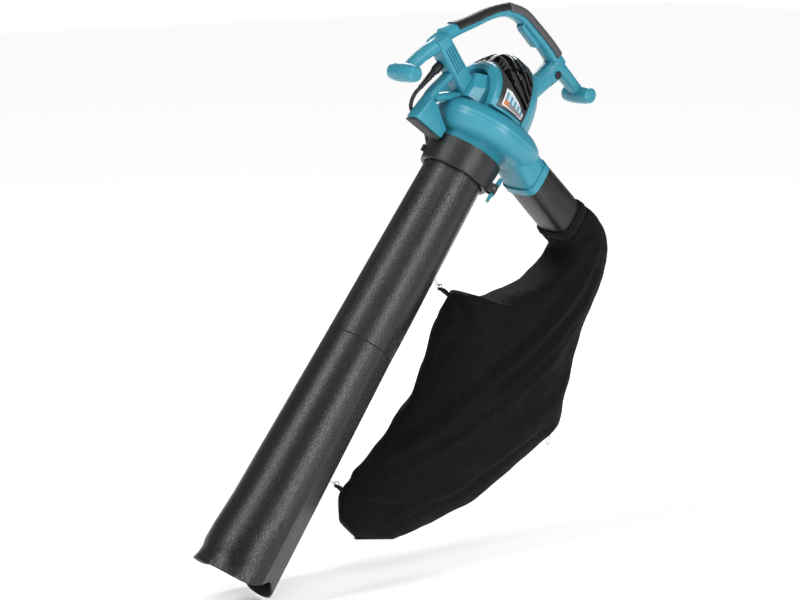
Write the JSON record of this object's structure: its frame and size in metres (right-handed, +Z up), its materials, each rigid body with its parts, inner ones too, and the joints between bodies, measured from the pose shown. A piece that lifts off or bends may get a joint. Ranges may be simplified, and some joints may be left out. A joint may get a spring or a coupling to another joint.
{
  "type": "leaf blower",
  "caption": "Electric garden leaf blower and vacuum with a long suction tube, looped hand grip, fan housing and hanging fabric collection bag.",
  "frame": {"origin": "centre of the front section of the looped hand grip", "axes": "+Z up as the machine is held, with the suction tube leaning down towards -X; +Y to the far side, square to the plane of the tube and handle; the bag side is +X"},
  "size_m": [0.8148, 0.2117, 0.9564],
  "materials": {
    "housing_near": "satin moulded",
    "housing_far": "satin moulded",
    "fan_housing_lower": "satin moulded",
    "fan_housing_upper": "satin moulded",
    "vent_cover": "fine satin",
    "rating_label": "printed film",
    "grip_front": "soft ribbed",
    "grip_rear": "soft",
    "trigger": "satin moulded",
    "speed_dial": "knurled",
    "fan_impeller": "moulded",
    "fan_nut": "plain",
    "motor_armature": "wound copper on steel",
    "motor_stator": "laminated",
    "bearing_lower": "ground",
    "bearing_upper": "ground",
    "motor_plate_lower": "cast",
    "motor_bridge_upper": "moulded",
    "brush_a": "carbon",
    "brush_b": "carbon",
    "intake_guard": "moulded",
    "intake_collar": "fine grained",
    "latch_lever": "satin moulded",
    "latch_pin": "plain",
    "suction_tube_upper": "fine grained",
    "suction_tube_nozzle": "fine grained",
    "outlet_adapter": "fine grained",
    "bag_cuff": "elastic band",
    "bag_neck": "woven",
    "collection_bag": "woven",
    "bag_zip": "zip tape",
    "zip_slider": "plated",
    "zip_pull": "plated",
    "bag_hook_1": "plated wire",
    "bag_hook_2": "plated wire",
    "bag_ring_1": "plated wire",
    "bag_ring_2": "plated wire",
    "foot_pad": "ribbed",
    "cable_gland": "moulded",
    "strain_relief": "ribbed",
    "power_cord": "smooth sheath",
    "mains_plug": "moulded",
    "housing_screw_1": "plain",
    "housing_screw_2": "plain",
    "housing_screw_3": "plain",
    "housing_screw_4": "plain"
  },
  "bodies": {
    "machine": {"housing_near": "housing_near", "housing_far": "housing_far", "fan_housing_lower": "fan_housing_lower", "fan_housing_upper": "fan_housing_upper", "vent_cover": "vent_cover", "rating_label": "rating_label", "grip_front": "grip_front", "grip_rear": "grip_rear", "motor_stator": "motor_stator", "bearing_lower": "bearing_lower", "bearing_upper": "bearing_upper", "motor_plate_lower": "motor_plate_lower", "motor_bridge_upper": "motor_bridge_upper", "brush_a": "brush_a", "brush_b": "brush_b", "intake_guard": "intake_guard", "intake_collar": "intake_collar", "latch_pin": "latch_pin", "suction_tube_upper": "suction_tube_upper", "suction_tube_nozzle": "suction_tube_nozzle", "outlet_adapter": "outlet_adapter", "bag_cuff": "bag_cuff", "bag_neck": "bag_neck", "collection_bag": "collection_bag", "bag_zip": "bag_zip", "zip_slider": "zip_slider", "bag_hook_1": "bag_hook_1", "bag_hook_2": "bag_hook_2", "bag_ring_1": "bag_ring_1", "bag_ring_2": "bag_ring_2", "foot_pad": "foot_pad", "cable_gland": "cable_gland", "strain_relief": "strain_relief", "power_cord": "power_cord", "mains_plug": "mains_plug", "housing_screw_1": "housing_screw_1", "housing_screw_2": "housing_screw_2", "housing_screw_3": "housing_screw_3", "housing_screw_4": "housing_screw_4"},
    "fan": {"motor_armature": "motor_armature", "fan_impeller": "fan_impeller", "fan_nut": "fan_nut"},
    "trigger": {"trigger": "trigger"},
    "dial": {"speed_dial": "speed_dial"},
    "latch": {"latch_lever": "latch_lever"},
    "zip_pull": {"zip_pull": "zip_pull"}
  },
  "joints": [
    {"name": "fan_spin", "type": "hinge", "parent": "machine", "child": "fan", "pos_m": [-0.00499, 0, -0.1719], "axis": [0.5878, 0, 0.809], "continuous": true},
    {"name": "trigger_pull", "type": "hinge", "parent": "machine", "child": "trigger", "pos_m": [0.07316, 0, -0.02349], "axis": [0, -1, 0], "range_deg": [0, 5], "stiffness_Nm_per_rad": 0.5},
    {"name": "dial_turn", "type": "hinge", "parent": "machine", "child": "dial", "pos_m": [0.14291, -0.014, -0.11124], "axis": [0, -1, 0], "range_deg": [0, 270]},
    {"name": "latch_swing", "type": "hinge", "parent": "machine", "child": "latch", "pos_m": [-0.02252, -0.04232, -0.29513], "axis": [-0.4755, -0.809, 0.3455], "range_deg": [0, 9], "stiffness_Nm_per_rad": 0.3},
    {"name": "zip_pull_swing", "type": "hinge", "parent": "machine", "child": "zip_pull", "pos_m": [0.13157, -0.0152, -0.75565], "axis": [0, 1, 0], "range_deg": [-30, 30]}
  ]
}
